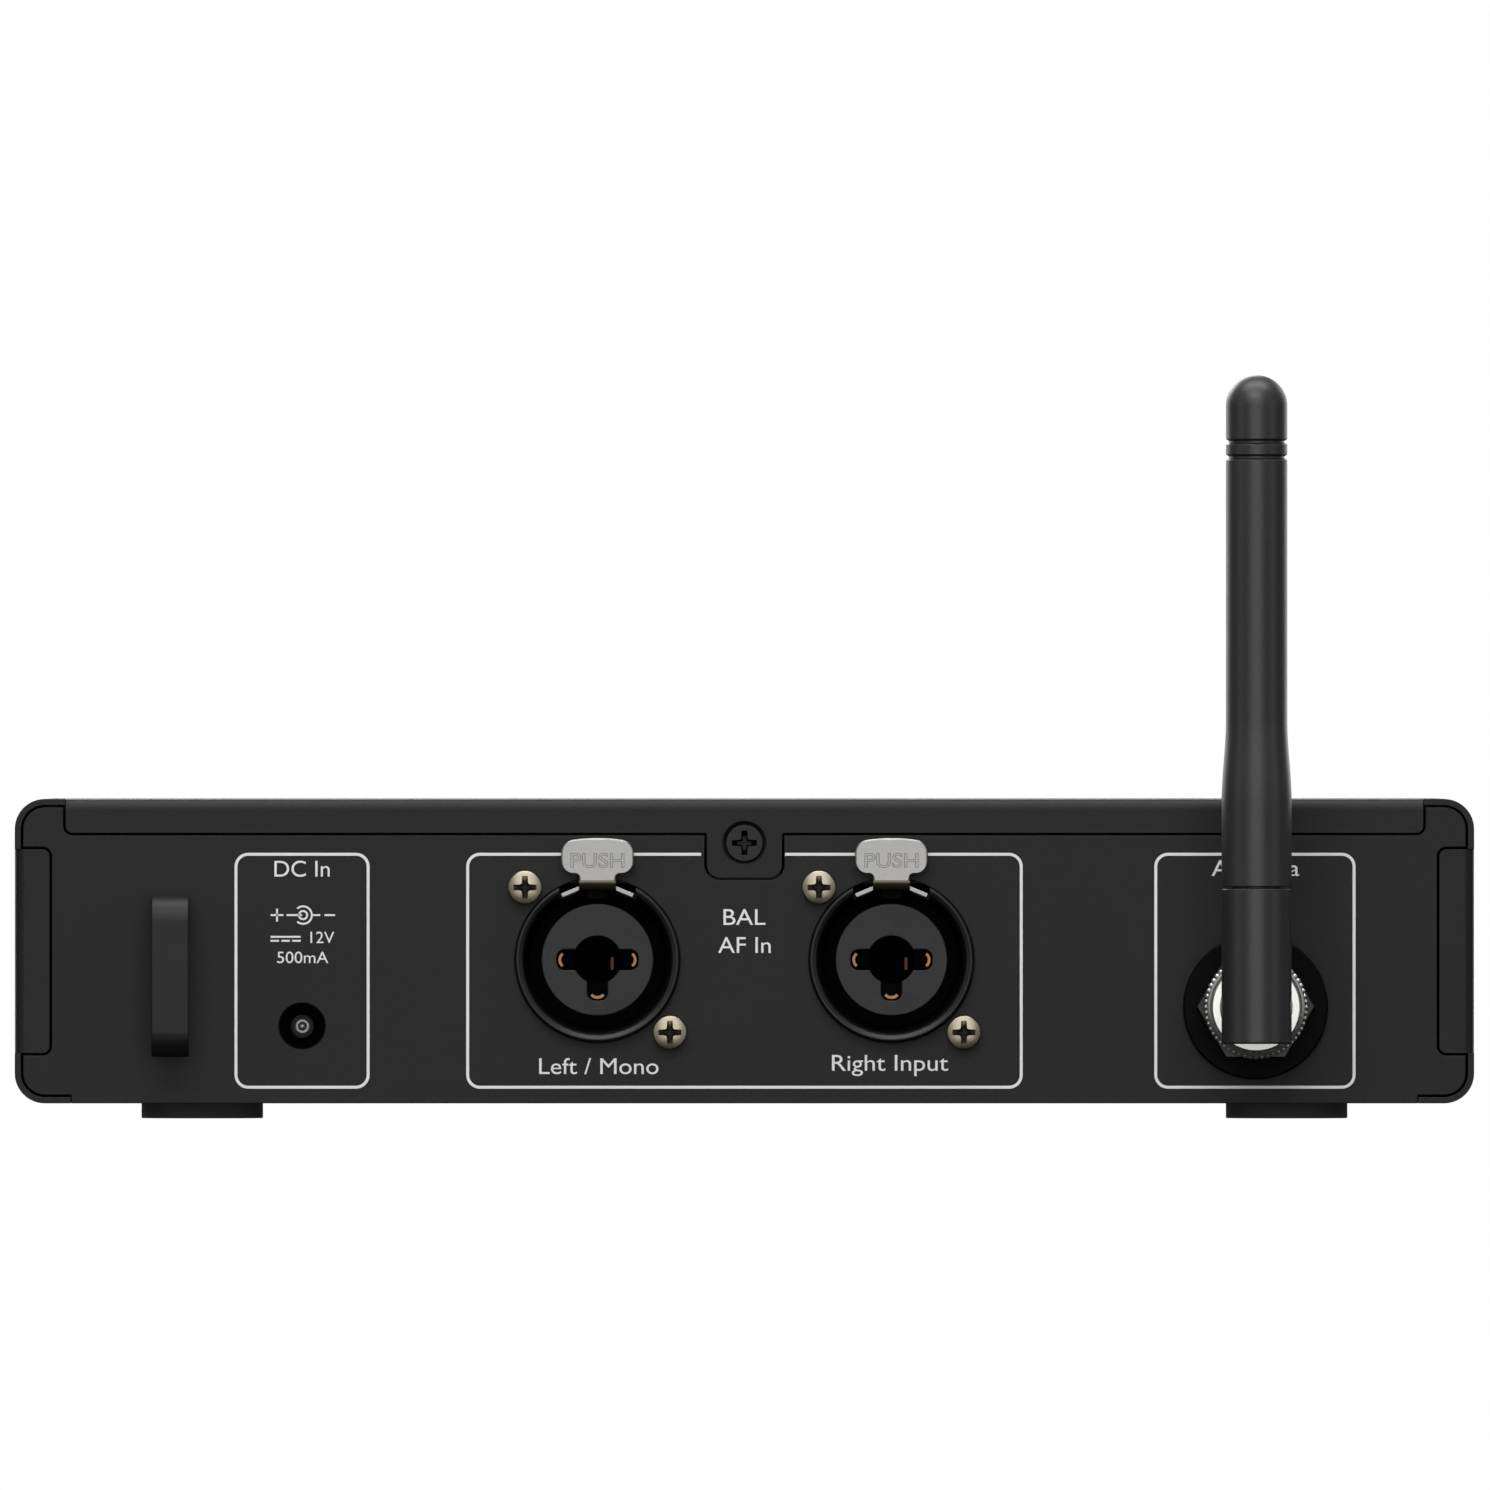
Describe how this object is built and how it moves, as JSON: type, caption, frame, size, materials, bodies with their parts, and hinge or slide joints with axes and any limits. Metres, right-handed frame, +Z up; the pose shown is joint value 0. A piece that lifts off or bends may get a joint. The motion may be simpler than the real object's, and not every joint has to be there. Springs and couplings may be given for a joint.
{
  "type": "wireless audio transmitter",
  "caption": "Half-rack wireless audio unit: folded steel case with combination input jacks, power inlet, cable hook and hinged rod antenna behind, display and controls in front.",
  "frame": {"origin": "on the ground, in the middle of the overall box", "axes": "+Z up, front panel facing -Y, rear connectors facing +Y, +X to the right of someone facing the front"},
  "size_m": [0.2084, 0.171, 0.1061],
  "materials": {
    "cover_paint": "black powder coat",
    "panel_paint": "black powder coat",
    "front_moulding": "fine moulded texture",
    "key_moulding": "fine moulded texture",
    "knob_moulding": "moulded",
    "connector_black": "moulded",
    "foot_rubber": "moulded",
    "antenna_rubber": "soft matte",
    "nickel": "plated, satin",
    "screw_steel": "warm plated",
    "black_steel": "blackened",
    "contact_gold": "plated",
    "tin_shield": "tinned",
    "lens_tint": "polished",
    "display": "unlit",
    "circuit_board": "solder mask",
    "cable_black": "extruded",
    "ribbon": "laminated",
    "capacitor_sleeve": "shrunk sleeve"
  },
  "bodies": {
    "case": {"antenna_pigtail": "cable_black", "bnc_nut": "nickel", "bnc_socket": "nickel", "bnc_washer": "connector_black", "board_screw_left": "screw_steel", "board_screw_right": "screw_steel", "cable_hook": "front_moulding", "capacitor": "capacitor_sleeve", "chassis_tray": "panel_paint", "cover_screw": "black_steel", "dc_jack": "connector_black", "dc_pin": "nickel", "display_lens": "lens_tint", "display_module": "display", "foot_front_left": "foot_rubber", "foot_front_right": "foot_rubber", "foot_rear_left": "foot_rubber", "foot_rear_right": "foot_rubber", "front_board": "circuit_board", "front_panel": "front_moulding", "ir_window": "lens_tint", "jack_left_contact_1": "contact_gold", "jack_left_contact_2": "contact_gold", "jack_left_contact_3": "contact_gold", "jack_left_housing": "connector_black", "jack_left_insert": "connector_black", "jack_left_screw_lower": "screw_steel", "jack_left_screw_upper": "screw_steel", "jack_right_contact_1": "contact_gold", "jack_right_contact_2": "contact_gold", "jack_right_contact_3": "contact_gold", "jack_right_housing": "connector_black", "jack_right_insert": "connector_black", "jack_right_screw_lower": "screw_steel", "jack_right_screw_upper": "screw_steel", "main_board": "circuit_board", "phones_jack": "connector_black", "phones_nut": "nickel", "rf_shield": "tin_shield", "ribbon_cable": "ribbon", "top_cover": "cover_paint", "volume_pot": "tin_shield"},
    "latch_left": {"jack_left_latch": "nickel"},
    "latch_right": {"jack_right_latch": "nickel"},
    "coupling": {"bnc_coupling": "nickel"},
    "antenna_stub": {"antenna_base": "antenna_rubber", "antenna_pivot": "nickel"},
    "antenna_rod": {"antenna_knuckle": "antenna_rubber", "antenna_whip": "antenna_rubber"},
    "volume": {"volume_knob": "knob_moulding", "volume_shaft": "nickel"},
    "power": {"power_button": "key_moulding"},
    "up": {"key_up": "key_moulding"},
    "down": {"key_down": "key_moulding"},
    "set": {"key_set": "key_moulding"},
    "escape": {"key_escape": "key_moulding"},
    "sync": {"key_sync": "key_moulding"}
  },
  "joints": [
    {"name": "latch_left_press", "type": "hinge", "parent": "case", "child": "latch_left", "pos_m": [0.021, 0.0525, 0.0329], "axis": [1, 0, 0], "range_deg": [0, 8], "stiffness_Nm_per_rad": 0.05, "springref_deg": -3.44},
    {"name": "latch_right_press", "type": "hinge", "parent": "case", "child": "latch_right", "pos_m": [-0.021, 0.0525, 0.0329], "axis": [1, 0, 0], "range_deg": [0, 8], "stiffness_Nm_per_rad": 0.05, "springref_deg": -3.44},
    {"name": "coupling_turn", "type": "hinge", "parent": "case", "child": "coupling", "pos_m": [-0.073, 0.0585, 0.016], "axis": [0, 1, 0], "range_deg": [0, 90]},
    {"name": "antenna_swivel", "type": "hinge", "parent": "case", "child": "antenna_stub", "pos_m": [-0.073, 0.0585, 0.016], "axis": [0, 1, 0], "range_deg": [-90, 90]},
    {"name": "antenna_tilt", "type": "hinge", "parent": "antenna_stub", "child": "antenna_rod", "pos_m": [-0.073, 0.0805, 0.016], "axis": [-1, 0, 0], "range_deg": [0, 90]},
    {"name": "volume_turn", "type": "hinge", "parent": "case", "child": "volume", "pos_m": [-0.042, -0.0735, 0.02395], "axis": [0, 1, 0], "range_deg": [-150, 150]},
    {"name": "power_press", "type": "slide", "parent": "case", "child": "power", "axis": [0, 1, 0], "range_m": [0, 0.001], "stiffness_N_per_m": 400, "springref_m": -0.001},
    {"name": "up_press", "type": "slide", "parent": "case", "child": "up", "axis": [0, 1, 0], "range_m": [0, 0.001], "stiffness_N_per_m": 400, "springref_m": -0.001},
    {"name": "down_press", "type": "slide", "parent": "case", "child": "down", "axis": [0, 1, 0], "range_m": [0, 0.001], "stiffness_N_per_m": 400, "springref_m": -0.001},
    {"name": "set_press", "type": "slide", "parent": "case", "child": "set", "axis": [0, 1, 0], "range_m": [0, 0.001], "stiffness_N_per_m": 400, "springref_m": -0.001},
    {"name": "escape_press", "type": "slide", "parent": "case", "child": "escape", "axis": [0, 1, 0], "range_m": [0, 0.001], "stiffness_N_per_m": 400, "springref_m": -0.001},
    {"name": "sync_press", "type": "slide", "parent": "case", "child": "sync", "axis": [0, 1, 0], "range_m": [0, 0.001], "stiffness_N_per_m": 400, "springref_m": -0.001}
  ]
}
